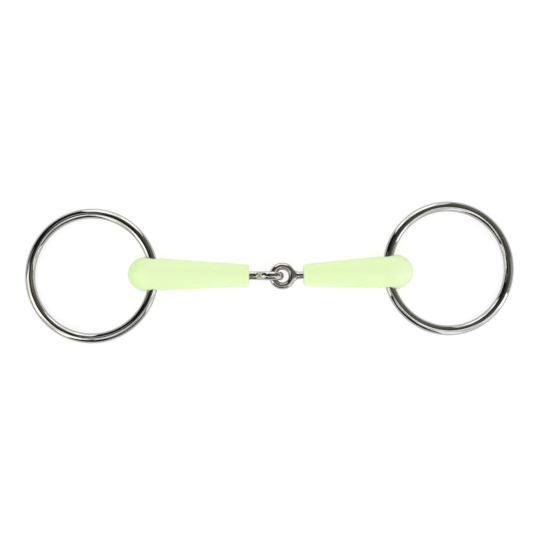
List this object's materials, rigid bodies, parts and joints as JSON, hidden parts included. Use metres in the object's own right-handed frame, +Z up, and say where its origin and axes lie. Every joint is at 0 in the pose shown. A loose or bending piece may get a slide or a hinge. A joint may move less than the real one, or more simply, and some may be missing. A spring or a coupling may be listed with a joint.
{
  "type": "snaffle bit",
  "caption": "Loose-ring snaffle bit for a horse: round steel cheek rings, plastic-covered tapered mouthpiece halves, linked steel eyes in the middle.",
  "frame": {"origin": "on the floor that the bit lies on, midway between the centres of the two rings", "axes": "+X along the mouthpiece from the left ring to the right ring, +Z up off the floor, +Y across, in the plane of the rings"},
  "size_m": [0.292, 0.08, 0.0208],
  "materials": {
    "ring_steel": "mirror-polished stainless steel",
    "core_steel": "polished forged stainless steel",
    "bush_steel": "turned",
    "cover_plastic": "satin moulded, slightly translucent"
  },
  "bodies": {
    "left_cannon": {"left_core": "core_steel", "left_cover": "cover_plastic"},
    "right_cannon": {"right_core": "core_steel", "right_cover": "cover_plastic"},
    "left_bush": {"left_ring_bush": "bush_steel"},
    "left_ring": {"left_cheek_ring": "ring_steel"},
    "right_bush": {"right_ring_bush": "bush_steel"},
    "right_ring": {"right_cheek_ring": "ring_steel"}
  },
  "joints": [
    {"name": "centre_fold", "type": "hinge", "parent": "left_cannon", "child": "right_cannon", "pos_m": [0.0068, -0.00256, 0.0104], "axis": [0, 0, 1], "range_deg": [-132, 132]},
    {"name": "left_ring_swing", "type": "hinge", "parent": "left_cannon", "child": "left_bush", "pos_m": [-0.07016, 0.00013, 0.0104], "axis": [0.0349, 0.9994, 0], "range_deg": [-145, 150]},
    {"name": "left_ring_spin", "type": "hinge", "parent": "left_bush", "child": "left_ring", "pos_m": [-0.10622, 0, 0.00674], "axis": [-0.101, -0.0004, 0.9949], "continuous": true},
    {"name": "right_ring_swing", "type": "hinge", "parent": "right_cannon", "child": "right_bush", "pos_m": [0.07019, -0.00145, 0.0104], "axis": [-0.0175, 0.9998, 0], "range_deg": [-150, 145]},
    {"name": "right_ring_spin", "type": "hinge", "parent": "right_bush", "child": "right_ring", "pos_m": [0.10622, 0, 0.00674], "axis": [0.1009, 0.0041, 0.9949], "continuous": true}
  ]
}
